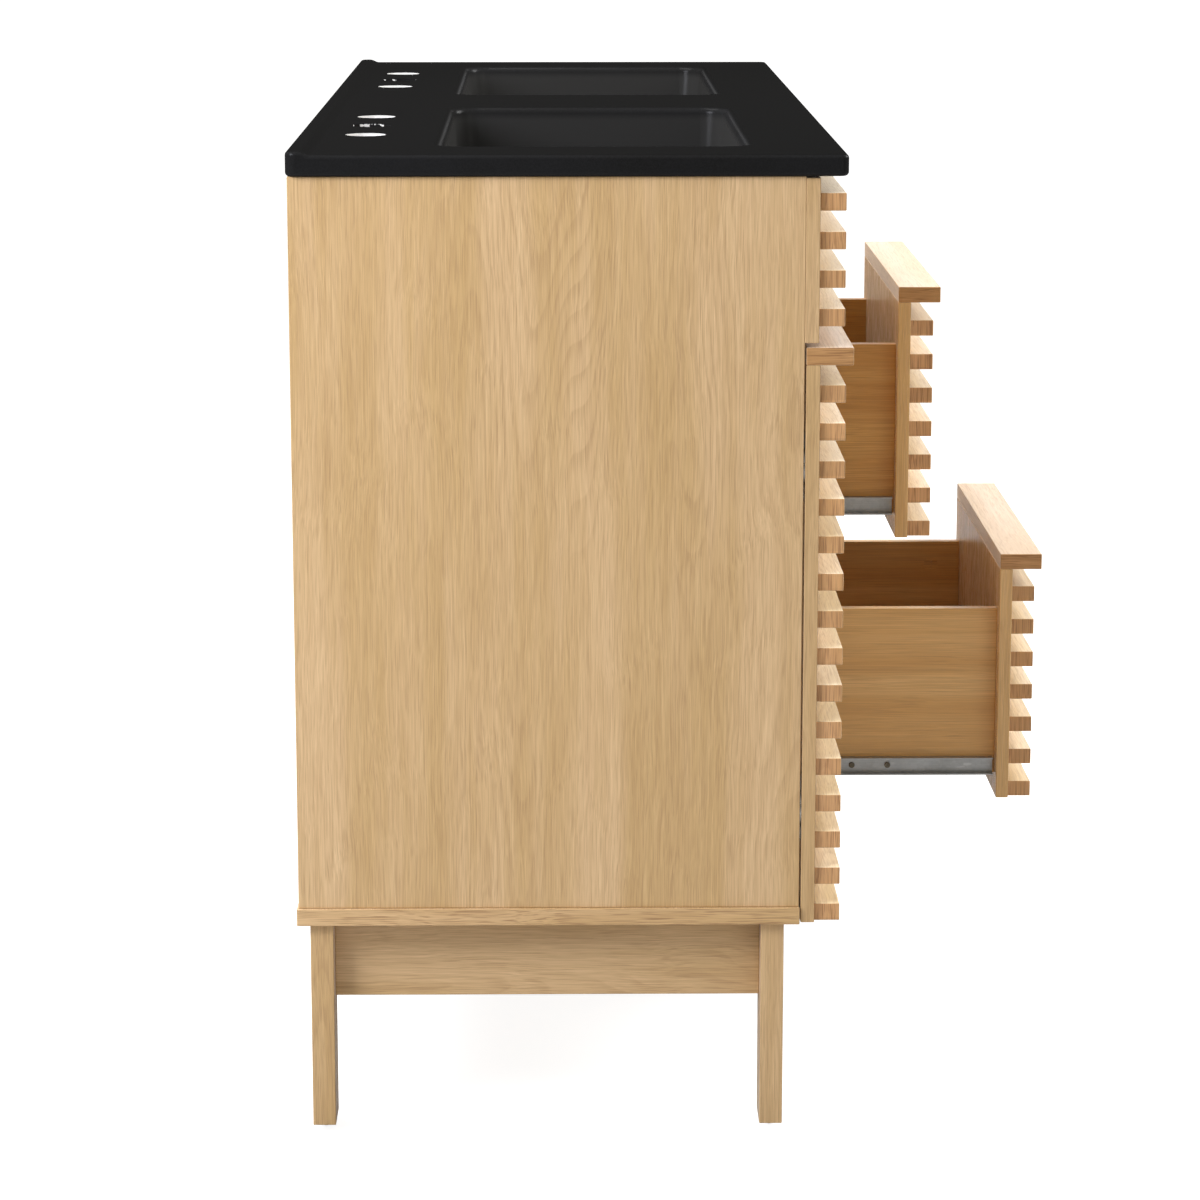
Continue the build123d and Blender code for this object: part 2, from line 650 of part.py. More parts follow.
for name, d in drawers.items():
    face = DOOR_BACK + d["open"]  # back plane of the front panel
    back = BOX_BACK + d["open"]
    low, high = d["box"], d["box"] + BOX_TALL
    floor = (low + BOTTOM_UP, low + BOTTOM_UP + GROOVE)
    board(
        f"{name}_drawer_front",
        front_x,
        (face, face + FACE),
        (d["box"] - BOX_ABOVE_PANEL, d["ledge"] - LEDGE_TALL),
    )
    board(f"{name}_drawer_ledge", front_x, (face, face + LEDGE_DEEP), (d["ledge"] - LEDGE_TALL, d["ledge"]))
    slat_rows(f"{name}_drawer_slats", front_x, face + FACE, d["rows"])

    fastener_parts = []
    for side, end in ((-1, "left"), (1, "right")):
        inner = side * (BOX_HALF - FACE)
        cams = [
            ((inner, from_wall(face - FRONT_CAM_BACK), z), (-side, 0, 0))
            for z in (low + FRONT_CAM_UP, high - FRONT_CAM_DOWN)
        ]
        with BuildPart() as box_side:
            solid_between((side * BOX_HALF, inner), (back, face), (low, high))
            fillet(box_side.edges(), SOFT_EDGE)
            cut_between((inner, inner + side * GROOVE), (back - 1, face + 1), floor)
            for centre, axis in cams:
                cam_pocket(centre, axis, FRONT_CAM_DEEP)
        keep(box_side, f"{name}_drawer_{end}_side")
        fastener_parts += [cam_lock(centre, axis, FRONT_CAM_DEEP) for centre, axis in cams]
        for step in RUNNER_SCREWS:
            spot = (side * (BOX_HALF + SHEET), from_wall(face - step), low + RUNNER_TALL / 2)
            fastener_parts.append(Plane(spot, z_dir=(side, 0, 0)) * screw_head.part)

    board(
        f"{name}_drawer_back",
        (-(BOX_HALF - FACE), BOX_HALF - FACE),
        (back, back + FACE),
        (floor[1], high),
    )
    with BuildPart() as drawer_bottom:
        half = BOX_HALF - FACE + GROOVE
        solid_between((-half, half), (back, face), floor)
    keep(drawer_bottom, f"{name}_drawer_bottom")

    with BuildPart() as runners:
        for side in (-1, 1):
            channel(
                side,
                BOX_HALF,
                RUNNER_REACH,
                slide_levels[name],
                RUNNER_TALL,
                SLIDE_BACK + d["open"],
                inward=False,
            )
    keep(runners, f"{name}_drawer_runners")

    with BuildPart() as fasteners:
        for part in fastener_parts:
            add(part)
    keep(fasteners, f"{name}_drawer_fasteners")

    # ball cages run between the two members at half the drawer's speed
    cage_mid = SLIDE_BACK + SLIDE_LONG / 2 + d["open"] / 2
    cage_half = (BALLS - 1) * BALL_PITCH / 2 + CAGE_END
    mid_z = slide_levels[name]
    with BuildPart() as cages:
        for side in (-1, 1):
            wall = (cage_mid - cage_half, cage_mid + cage_half)
            rise = BALL_ROW + CAGE_SHEET / 2
            web = (side * CAGE_WEB, side * (CAGE_WEB + CAGE_SHEET))
            solid_between(web, wall, (mid_z - rise, mid_z + rise))
            for up in (-1, 1):
                solid_between(
                    (side * (BALL_X - CAGE_LIP), side * (CAGE_WEB + CAGE_SHEET)),
                    wall,
                    (mid_z + up * BALL_ROW - CAGE_SHEET / 2, mid_z + up * BALL_ROW + CAGE_SHEET / 2),
                )
                first_ball = cage_mid - (BALLS - 1) / 2 * BALL_PITCH
                spots = [
                    (side * BALL_X, from_wall(first_ball + n * BALL_PITCH), mid_z + up * BALL_ROW)
                    for n in range(BALLS)
                ]
                with Locations(*spots):
                    Sphere(BALL_R)
    keep(cages, f"{name}_ball_cages")
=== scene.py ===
"""Looks of the two-basin bathroom vanity: laminate, glazed ceramic, plated steel, and the studio round it.

Everything is in metres, in the frame of the model: +X to the right, the fronts facing -Y, +Z up.
"""

import math

import bmesh
import bpy
from mathutils import Euler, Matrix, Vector


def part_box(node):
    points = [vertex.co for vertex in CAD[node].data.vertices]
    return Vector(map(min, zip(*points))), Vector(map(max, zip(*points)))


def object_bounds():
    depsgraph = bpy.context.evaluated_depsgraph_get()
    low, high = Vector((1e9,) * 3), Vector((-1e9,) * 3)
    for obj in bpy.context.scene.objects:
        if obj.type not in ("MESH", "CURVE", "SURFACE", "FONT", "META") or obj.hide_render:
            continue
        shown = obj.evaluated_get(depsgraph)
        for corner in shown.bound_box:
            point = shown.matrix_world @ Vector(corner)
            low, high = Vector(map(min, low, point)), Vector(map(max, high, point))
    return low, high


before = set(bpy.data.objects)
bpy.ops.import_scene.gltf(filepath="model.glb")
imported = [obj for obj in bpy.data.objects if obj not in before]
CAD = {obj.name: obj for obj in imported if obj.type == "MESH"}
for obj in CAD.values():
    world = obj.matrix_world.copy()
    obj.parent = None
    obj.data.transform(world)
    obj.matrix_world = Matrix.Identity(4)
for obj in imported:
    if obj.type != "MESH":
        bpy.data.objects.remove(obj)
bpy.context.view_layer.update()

# ---------------------------------------------------------------- finishes, as linear colours
OAK_PALE = (0.722, 0.505, 0.276)
OAK_MID = (0.615, 0.412, 0.190)
OAK_LINE = (0.43, 0.26, 0.115)
OAK_PORE = (0.36, 0.21, 0.095)
DRAWER_PALE = (0.80, 0.52, 0.222)
DRAWER_MID = (0.69, 0.405, 0.145)
DRAWER_LINE = (0.38, 0.20, 0.07)
GLAZE_BLACK = (0.0096, 0.0094, 0.0092)
# painted shade: the upward faces of the deck are set darker than the rest of the glaze
GLAZE_DECK_PAINTED_SHADE = (0.0066, 0.0065, 0.0064)
GLAZE_CLOUD = (0.0120, 0.0120, 0.0125)
GLAZE_SPECK = (0.022, 0.022, 0.023)
BISQUE = (0.88, 0.875, 0.86)
BISQUE_SPECK = (0.80, 0.79, 0.76)
# painted light: the basins' walls are set greyer, for the light they catch
GLAZE_BASIN_PAINTED_LIGHT = (0.0280, 0.0273, 0.0264)
GLAZE_BASIN_FLOOR = (0.0120, 0.0117, 0.0114)
ZINC = (0.47, 0.475, 0.47)
NICKEL = (0.63, 0.615, 0.58)
CAM_GREY = (0.38, 0.38, 0.375)
SCRATCH_BRIGHT = (0.75, 0.75, 0.74)
SCREW_BRONZE = (0.17, 0.145, 0.105)
NYLON_BLACK = (0.02, 0.02, 0.021)
SATIN_HAZE = 0.50
# tones of single faces and boards, as multipliers of the oak's colours
SLAT_END = (1.01, 0.84, 0.76)
LEDGE_END = (0.80, 0.63, 0.48)
BASE_END = (0.98, 0.95, 0.92)
# painted highlight: the upper faces of slats and ledges are set paler, for the light from above
SLAT_TOP_PAINTED_HIGHLIGHT = (1.32, 1.58, 2.10)
LEDGE_TOP_PAINTED_HIGHLIGHT = (0.93, 1.00, 1.32)
FRONT_TONE = (1.10, 1.04, 0.90)
# painted shade: the upper drawer's boards are set darker and browner, for the shade inside the cabinet
UPPER_BOX_PAINTED_SHADE = (0.80, 0.68, 0.46)
PLAIN = (1.0, 1.0, 1.0)
BUMPER_CLEAR = (0.72, 0.71, 0.67)

# ---------------------------------------------------------------- small helpers for shader trees


def join(tree, socket, value):
    """Feeds an input socket from another socket, or sets its plain value."""
    if isinstance(value, bpy.types.NodeSocket):
        tree.links.new(value, socket)
    elif isinstance(value, tuple) and len(value) == 3 and socket.type == "RGBA":
        socket.default_value = (*value, 1.0)
    else:
        socket.default_value = value


def node(tree, kind, inputs=None, **settings):
    """A new node with its settings and inputs, which are given by name or by number."""
    made = tree.nodes.new(kind)
    for key, value in settings.items():
        setattr(made, key, value)
    for key, value in (inputs or {}).items():
        join(tree, made.inputs[key], value)
    return made


def sums(tree, operation, *values):
    """One Math node."""
    made = node(tree, "ShaderNodeMath", operation=operation)
    for at, value in enumerate(values):
        join(tree, made.inputs[at], value)
    return made.outputs[0]


def vectors(tree, operation, *values, **named):
    """One Vector Math node."""
    made = node(tree, "ShaderNodeVectorMath", operation=operation)
    for at, value in enumerate(values):
        join(tree, made.inputs[at], value)
    for key, value in named.items():
        join(tree, made.inputs[key], value)
    return made.outputs["Value"] if operation in ("LENGTH", "DISTANCE") else made.outputs["Vector"]


def noise(tree, vector, scale, detail=2.0, roughness=0.5, distortion=0.0):
    """The value of a Noise Texture."""
    made = node(
        tree,
        "ShaderNodeTexNoise",
        {
            "Vector": vector,
            "Scale": scale,
            "Detail": detail,
            "Roughness": roughness,
            "Distortion": distortion,
        },
    )
    return made.outputs["Fac"]


def spread(tree, value, low, high, to_low=0.0, to_high=1.0, smooth=True):
    """Stretches a value from one range to another, clamped."""
    made = node(
        tree,
        "ShaderNodeMapRange",
        {"Value": value, "From Min": low, "From Max": high, "To Min": to_low, "To Max": to_high},
        interpolation_type="SMOOTHSTEP" if smooth else "LINEAR",
    )
    return made.outputs["Result"]


def blend_colours(tree, factor, a, b, how="MIX"):
    """One colour Mix node."""
    made = node(tree, "ShaderNodeMix", data_type="RGBA", blend_type=how)
    join(tree, made.inputs[0], factor)
    join(tree, made.inputs[6], a)
    join(tree, made.inputs[7], b)
    return made.outputs[2]


def blend_vectors(tree, factor, a, b):
    """One vector Mix node."""
    made = node(tree, "ShaderNodeMix", data_type="VECTOR")
    join(tree, made.inputs[0], factor)
    join(tree, made.inputs[4], a)
    join(tree, made.inputs[5], b)
    return made.outputs[1]


def new_group(name, inputs, outputs):
    """An empty shader node group with named sockets; gives its tree, input node and output node."""
    tree = bpy.data.node_groups.new(name, "ShaderNodeTree")
    for label, kind, value in inputs:
        socket = tree.interface.new_socket(name=label, in_out="INPUT", socket_type=kind)
        if value is not None:
            socket.default_value = value
    for label, kind in outputs:
        tree.interface.new_socket(name=label, in_out="OUTPUT", socket_type=kind)
    return tree, tree.nodes.new("NodeGroupInput"), tree.nodes.new("NodeGroupOutput")


def use_group(tree, group, inputs):
    """Places a group in a tree, with its own values."""
    made = node(tree, "ShaderNodeGroup", node_tree=group)
    for key, value in inputs.items():
        join(tree, made.inputs[key], value)
    return made


def new_material(name):
    """An empty material; gives it, its tree and its Principled shader."""
    made = bpy.data.materials.new(name)
    made.use_nodes = True
    return made, made.node_tree, made.node_tree.nodes["Principled BSDF"]


def dress(names, material):
    """Puts a material on CAD nodes."""
    for name in names:
        for each in CAD[name].material_slots:
            each.material = material


# ---------------------------------------------------------------- shared effects
VECTOR, FLOAT, COLOUR = "NodeSocketVector", "NodeSocketFloat", "NodeSocketColor"


def make_oak_figure():
    """Oak laminate, grain along Z: soft bands, growth lines that close into arches, pores and fibres."""
    tree, given, out = new_group(
        "oak_figure",
        [
            ("Vector", VECTOR, None),
            ("Seed", FLOAT, 0.0),
            ("Pale", COLOUR, (*OAK_PALE, 1)),
            ("Mid", COLOUR, (*OAK_MID, 1)),
            ("Line", COLOUR, (*OAK_LINE, 1)),
            ("Pore", COLOUR, (*OAK_PORE, 1)),
            ("Lines", FLOAT, 0.5),
            ("Pores", FLOAT, 0.5),
        ],
        [("Color", COLOUR), ("Roughness", FLOAT), ("Height", FLOAT)],
    )
    shift = vectors(tree, "SCALE", (3.17, 5.71, 1.93), Scale=given.outputs["Seed"])
    here = vectors(tree, "ADD", given.outputs["Vector"], shift)
    # slow waviness, so that no line runs dead straight
    sway_at = vectors(tree, "MULTIPLY", here, (1.0, 1.0, 0.45))
    sway = sums(tree, "MULTIPLY", sums(tree, "SUBTRACT", noise(tree, sway_at, 11.0, 2.0), 0.5), 0.014)
    swayed = vectors(tree, "ADD", here, vectors(tree, "SCALE", (1.0, 1.0, 0.0), Scale=sway))

    # broad bands of pinker and of yellower wood, with narrower ones inside them
    bands_at = vectors(tree, "MULTIPLY", swayed, (1.0, 1.0, 0.075))
    bands = spread(tree, noise(tree, bands_at, 24.0, 3.0, 0.55), 0.34, 0.66)
    narrow_at = vectors(tree, "MULTIPLY", swayed, (1.0, 1.0, 0.05))
    narrow = spread(tree, noise(tree, narrow_at, 120.0, 2.0, 0.55), 0.30, 0.70)

    # growth lines: level lines of a slow field, most of them lost in the fibres
    field_at = vectors(tree, "MULTIPLY", swayed, (1.0, 1.0, 0.075))
    field = noise(tree, field_at, 8.0, 2.0, 0.4)
    parts = node(tree, "ShaderNodeSeparateXYZ", {0: swayed})
    across = sums(tree, "ADD", parts.outputs["X"], parts.outputs["Y"])
    count = sums(tree, "MULTIPLY_ADD", across, 150.0, sums(tree, "MULTIPLY", field, 58.0))
    phase = sums(tree, "FRACT", count)
    ring = sums(tree, "MULTIPLY", spread(tree, phase, 0.35, 0.9), spread(tree, phase, 0.9, 1.0, 1.0, 0.0))
    where_at = vectors(tree, "MULTIPLY", here, (1.0, 1.0, 0.2))
    where = spread(tree, noise(tree, where_at, 9.0, 1.0), 0.38, 0.60, 0.15, 1.0)
    ring = sums(tree, "MULTIPLY", ring, where)

    # short dark pores, thicker in the growth lines, and short pale fibres
    pore_at = vectors(tree, "MULTIPLY", swayed, (1.0, 1.0, 0.026))
    pore_noise = noise(tree, pore_at, 1150.0, 1.0, 0.5)
    pore = spread(tree, sums(tree, "MULTIPLY_ADD", ring, 0.07, pore_noise), 0.53, 0.68)
    fibre_at = vectors(tree, "MULTIPLY", swayed, (1.0, 1.0, 0.016))
    fibre = spread(tree, noise(tree, fibre_at, 1350.0, 2.0, 0.6), 0.28, 0.72, smooth=False)
    streak_at = vectors(tree, "MULTIPLY", swayed, (1.0, 1.0, 0.013))
    streak = spread(tree, noise(tree, streak_at, 560.0, 2.0, 0.6), 0.3, 0.7)

    colour = blend_colours(tree, bands, given.outputs["Pale"], given.outputs["Mid"])
    darker = blend_colours(tree, 1.0, colour, (0.955, 0.94, 0.925), "MULTIPLY")
    colour = blend_colours(tree, narrow, darker, colour)
    streaked = blend_colours(tree, 1.0, colour, (0.905, 0.88, 0.85), "MULTIPLY")
    colour = blend_colours(tree, streak, streaked, colour)
    line_part = sums(tree, "MULTIPLY", ring, given.outputs["Lines"])
    line_part = sums(tree, "MULTIPLY", line_part, spread(tree, fibre, 0.0, 1.0, 1.0, 0.45, smooth=False))
    colour = blend_colours(tree, line_part, colour, given.outputs["Line"])
    dulled = blend_colours(tree, 1.0, colour, (0.86, 0.835, 0.795), "MULTIPLY")
    lifted = blend_colours(tree, 1.0, colour, (1.09, 1.10, 1.12), "MULTIPLY")
    colour = blend_colours(tree, fibre, dulled, lifted)
    pore_part = sums(tree, "MULTIPLY", pore, given.outputs["Pores"])
    colour = blend_colours(tree, pore_part, colour, given.outputs["Pore"])

    rough = sums(tree, "MULTIPLY_ADD", pore, 0.12, sums(tree, "MULTIPLY_ADD", fibre, 0.06, 0.36))
    deep = sums(tree, "MULTIPLY_ADD", pore, -0.8, sums(tree, "MULTIPLY_ADD", ring, -0.2, fibre))
    join(tree, out.inputs["Color"], colour)
    join(tree, out.inputs["Roughness"], rough)
    join(tree, out.inputs["Height"], deep)
    return tree


def make_mottle():
    """Slow cloudy variation with fine speckle in it, for finishes that are plain from afar."""
    tree, given, out = new_group(
        "mottle",
        [("Vector", VECTOR, None), ("Cloud Scale", FLOAT, 12.0), ("Speckle Scale", FLOAT, 600.0)],
        [("Cloud", FLOAT), ("Speckle", FLOAT)],
    )
    place = given.outputs["Vector"]
    cloud = spread(tree, noise(tree, place, given.outputs["Cloud Scale"], 3.0), 0.3, 0.7)
    speckle = spread(tree, noise(tree, place, given.outputs["Speckle Scale"], 1.0), 0.3, 0.7)
    join(tree, out.inputs["Cloud"], cloud)
    join(tree, out.inputs["Speckle"], speckle)
    return tree


def make_brushed():
    """Rolling and drawing marks along Z on sheet metal."""
    tree, given, out = new_group(
        "brushed",
        [("Vector", VECTOR, None)],
        [("Marks", FLOAT), ("Scratch", FLOAT)],
    )
    along = vectors(tree, "MULTIPLY", given.outputs["Vector"], (1.0, 1.0, 0.02))
    marks = spread(tree, noise(tree, along, 1500.0, 3.0, 0.65), 0.25, 0.75)
    skew = vectors(tree, "MULTIPLY", given.outputs["Vector"], (1.0, 0.35, 0.05))
    scratch = spread(tree, noise(tree, skew, 900.0, 1.0, 0.4), 0.67, 0.72)
    join(tree, out.inputs["Marks"], marks)
    join(tree, out.inputs["Scratch"], scratch)
    return tree


OAK_FIGURE = make_oak_figure()
MOTTLE = make_mottle()
BRUSHED = make_brushed()

DRAWER_STRETCH = (1.55, 1.55, 0.60)  # finer across the grain, longer along it
DRAWER_LINES, BOARD_LINES = 0.24, 0.31  # strength of the growth lines
FACE_PORES, END_PORES = 0.32, 0.85  # strength of the pores
STRIP_TONES = (0.91, 1.04)  # darkest and palest slat
GRAIN_DEPTH = 0.0002

# which two axes lie across the grain, then the one along it
TURNED = {"X": ("Y", "Z", "X"), "Y": ("X", "Z", "Y"), "Z": ("X", "Y", "Z")}


def along_grain(tree, source, grain):
    """Swaps the axes of a position so that the grain axis becomes Z."""
    parts = node(tree, "ShaderNodeSeparateXYZ", {0: source})
    turned = node(tree, "ShaderNodeCombineXYZ")
    for at, axis in enumerate(TURNED[grain]):
        join(tree, turned.inputs[at], parts.outputs[axis])
    return turned.outputs[0]


def facing(tree, normal, axis):
    """1 on faces square to an axis, else 0."""
    parts = node(tree, "ShaderNodeSeparateXYZ", {0: normal})
    return sums(tree, "GREATER_THAN", sums(tree, "ABSOLUTE", parts.outputs[axis]), 0.75)


def oak(
    name,
    grain,
    ends,
    end_grain,
    seed=0.0,
    tone=PLAIN,
    end=PLAIN,
    top=PLAIN,
    drawer=False,
    pitch=0.0,
    gloss=0.0,
    haze=SATIN_HAZE,
):
    """Oak laminate whose edging on the faces square to the ends axis has a grain of its own."""
    made, tree, shader = new_material(name)
    place = node(tree, "ShaderNodeTexCoord")
    is_end = facing(tree, place.outputs["Normal"], ends)
    vector = blend_vectors(
        tree,
        is_end,
        along_grain(tree, place.outputs["Object"], grain),
        along_grain(tree, place.outputs["Object"], end_grain),
    )
    if drawer:
        # the drawers' foil has a straighter, longer figure
        vector = vectors(tree, "MULTIPLY", vector, DRAWER_STRETCH)
    colours = (DRAWER_PALE, DRAWER_MID, DRAWER_LINE) if drawer else (OAK_PALE, OAK_MID, OAK_LINE)
    figure = use_group(
        tree,
        OAK_FIGURE,
        {"Vector": vector, "Seed": seed, "Pale": colours[0], "Mid": colours[1], "Line": colours[2]},
    )
    figure.inputs["Lines"].default_value = DRAWER_LINES if drawer else BOARD_LINES
    edge_pores = FACE_PORES if end is PLAIN else END_PORES
    join(tree, figure.inputs["Pores"], spread(tree, is_end, 0.0, 1.0, FACE_PORES, edge_pores, smooth=False))
    colour = blend_colours(tree, 1.0, figure.outputs["Color"], tone, "MULTIPLY")
    colour = blend_colours(tree, is_end, colour, blend_colours(tree, 1.0, colour, end, "MULTIPLY"))
    if top is not PLAIN:
        # painted highlight: upper faces are set paler, standing in for the light from above
        top_face_painted_highlight = facing(tree, place.outputs["Normal"], "Z")
        colour = blend_colours(tree, top_face_painted_highlight, colour, blend_colours(tree, 1.0, colour, top, "MULTIPLY"))
    if pitch:
        # each slat is cut from another strip, so its tone differs a little
        height = node(tree, "ShaderNodeSeparateXYZ", {0: place.outputs["Object"]}).outputs["Z"]
        row = sums(tree, "FLOOR", sums(tree, "DIVIDE", height, pitch))
        chance = node(tree, "ShaderNodeTexWhiteNoise", {"W": row}, noise_dimensions="1D").outputs["Value"]
        strip = spread(tree, chance, 0.0, 1.0, *STRIP_TONES, smooth=False)
        grey = node(tree, "ShaderNodeCombineXYZ", {0: strip, 1: strip, 2: strip}).outputs[0]
        colour = blend_colours(tree, 1.0, colour, grey, "MULTIPLY")
    rough = sums(tree, "SUBTRACT", figure.outputs["Roughness"], gloss)
    height = figure.outputs["Height"]
    bump = node(tree, "ShaderNodeBump", {"Strength": 0.22, "Distance": GRAIN_DEPTH, "Height": height})
    join(tree, shader.inputs["Base Color"], colour)
    join(tree, shader.inputs["Roughness"], rough)
    join(tree, shader.inputs["Normal"], bump.outputs[0])
    shader.inputs["Sheen Weight"].default_value = haze
    shader.inputs["Sheen Roughness"].default_value = 0.25
    return made


# ---------------------------------------------------------------- boards
SLAT_PITCH = 0.03245


def shaded(amount):
    """A tone a little darker and warmer than plain."""
    return (amount, amount**1.3, amount**1.8)


def slatted(name, seed):
    """Strips with end grain set browner, and upper faces painted paler as a painted highlight."""
    return oak(name, "X", "X", "Z", seed, end=SLAT_END, top=SLAT_TOP_PAINTED_HIGHLIGHT, pitch=SLAT_PITCH)


def ledge_board(name, seed):
    """The board along the top of a door or a drawer front, which is its handle."""
    return oak(name, "X", "X", "Y", seed, end=LEDGE_END, top=LEDGE_TOP_PAINTED_HIGHLIGHT)


def drawer_board(name, grain, end_grain, seed, tone=PLAIN):
    """A board of a drawer's box."""
    return oak(name, grain, grain, end_grain, seed, tone=tone, drawer=True)


for side, seed in (("left", 1.0), ("right", 2.0)):
    dress([f"{side}_side_panel"], oak(f"oak_{side}_side", "Z", "Z", "Y", seed))
    dress([f"{side}_partition"], oak(f"oak_{side}_partition", "Z", "Z", "Y", seed + 4))
    door = oak(f"oak_{side}_door", "Z", "Z", "X", seed + 6, tone=shaded(0.93), gloss=0.08, haze=0.2)
    dress([f"{side}_door_panel"], door)
    dress([f"{side}_door_ledge"], ledge_board(f"oak_{side}_ledge", seed + 8))
    dress([f"{side}_door_slats"], slatted(f"oak_{side}_slats", seed + 10))
    dress([f"{side}_apron"], oak(f"oak_{side}_apron", "Y", "Y", "Z", seed + 12, tone=shaded(0.94)))
    for end, more in (("front", 0.3), ("rear", 0.6)):
        leg = oak(f"oak_{end}_{side}_leg", "Z", "Z", "X", seed + 14 + more, tone=shaded(0.97))
        dress([f"{end}_{side}_leg"], leg)
dress(["bottom_panel"], oak("oak_bottom", "X", "X", "Y", 20.0, end=BASE_END))
dress(["front_apron", "rear_apron"], oak("oak_long_aprons", "X", "X", "Z", 21.0, tone=shaded(0.96)))
dress(["front_rail", "rear_top_rail", "rear_bottom_rail"], oak("oak_rails", "X", "X", "Z", 22.0))
dress(["false_front_panel"], oak("oak_false_front", "Z", "Z", "X", 23.0, tone=shaded(0.95), haze=0.2))
dress(["false_front_slats"], slatted("oak_false_slats", 24.0))
# the upper drawer's box gets painted shade, set darker and browner than the lower one's
for level, seed, shade in (("upper", 30.0, UPPER_BOX_PAINTED_SHADE), ("lower", 35.0, PLAIN)):
    front = oak(f"oak_{level}_front", "Z", "Z", "X", seed, tone=FRONT_TONE, gloss=0.14, haze=0.12)
    dress([f"{level}_drawer_front"], front)
    dress([f"{level}_drawer_ledge"], ledge_board(f"oak_{level}_ledge", seed + 1))
    dress([f"{level}_drawer_slats"], slatted(f"oak_{level}_slats", seed + 2))
    for side, more in (("left", 0.3), ("right", 0.6)):
        board = drawer_board(f"oak_{level}_{side}_drawer_side", "Y", "Z", seed + 3 + more, shade)
        dress([f"{level}_drawer_{side}_side"], board)
    dress([f"{level}_drawer_back"], drawer_board(f"oak_{level}_drawer_back", "X", "Z", seed + 4, shade))
    dress([f"{level}_drawer_bottom"], drawer_board(f"oak_{level}_drawer_bottom", "Y", "Y", seed + 5))
dress(["centre_back_panel"], drawer_board("oak_back_panel", "Z", "Z", 40.0, shaded(0.9)))


# ---------------------------------------------------------------- basin top
BEAD_TALL = 0.003  # bead along the wall above the deck
TAP_SIDE = 0.1016  # outer tap holes from the middle one
TAP_BACK = 0.0575  # tap row from the wall
TAP_REACH = 0.0186  # just wider than a tap hole
BASIN_BACK, BASIN_FRONT = 0.100, 0.450  # basins lie between these, from the wall
BASIN_END = 0.020  # and at least this far from the ends of the top


def bare_clay_and_painted_glints(tree, place, deck, high):
    """1 on the walls of the outer tap holes, where the clay is unglazed, and in white patches on the middle
    ones, which are painted glints on their glazed walls.
    """
    parts = node(tree, "ShaderNodeSeparateXYZ", {0: place})
    # the tap rows of both basins folded onto one half row
    from_middle = sums(tree, "ABSOLUTE", parts.outputs["X"])
    folded = sums(tree, "ABSOLUTE", sums(tree, "SUBTRACT", from_middle, high.x / 2))
    flat = node(tree, "ShaderNodeCombineXYZ", {0: folded, 1: parts.outputs["Y"], 2: 0.0}).outputs[0]
    tap_row = high.y - TAP_BACK
    from_outer = vectors(tree, "DISTANCE", flat, (TAP_SIDE, tap_row, 0.0))
    from_spout = vectors(tree, "DISTANCE", flat, (0.0, tap_row, 0.0))
    near_outer = sums(tree, "LESS_THAN", from_outer, TAP_REACH)
    near_middle = sums(tree, "LESS_THAN", from_spout, TAP_REACH)
    # painted glints: white patches in the middle tap holes stand in for highlights on their glazed walls
    painted_glints = spread(tree, noise(tree, place, 130.0, 2.0, 0.6), 0.56, 0.60)
    clay_and_glints = sums(tree, "ADD", near_outer, sums(tree, "MULTIPLY", near_middle, painted_glints))
    below = spread(tree, parts.outputs["Z"], deck - 0.0005, deck - 0.0001, 1.0, 0.0)
    return sums(tree, "MULTIPLY", clay_and_glints, below)


def inside_basins(tree, place, deck, high):
    """1 inside the basins, fading out over their rims."""
    parts = node(tree, "ShaderNodeSeparateXYZ", {0: place})
    before_taps = sums(tree, "GREATER_THAN", high.y - BASIN_BACK, parts.outputs["Y"])
    under_rim = spread(tree, parts.outputs["Z"], deck - 0.014, deck - 0.003, 1.0, 0.0)
    from_middle = sums(tree, "ABSOLUTE", parts.outputs["X"])
    off_ends = sums(tree, "GREATER_THAN", high.x - BASIN_END, from_middle)
    behind_front = sums(tree, "GREATER_THAN", parts.outputs["Y"], high.y - BASIN_FRONT)
    within = sums(tree, "MULTIPLY", before_taps, under_rim)
    within = sums(tree, "MULTIPLY", within, off_ends)
    return sums(tree, "MULTIPLY", within, behind_front)


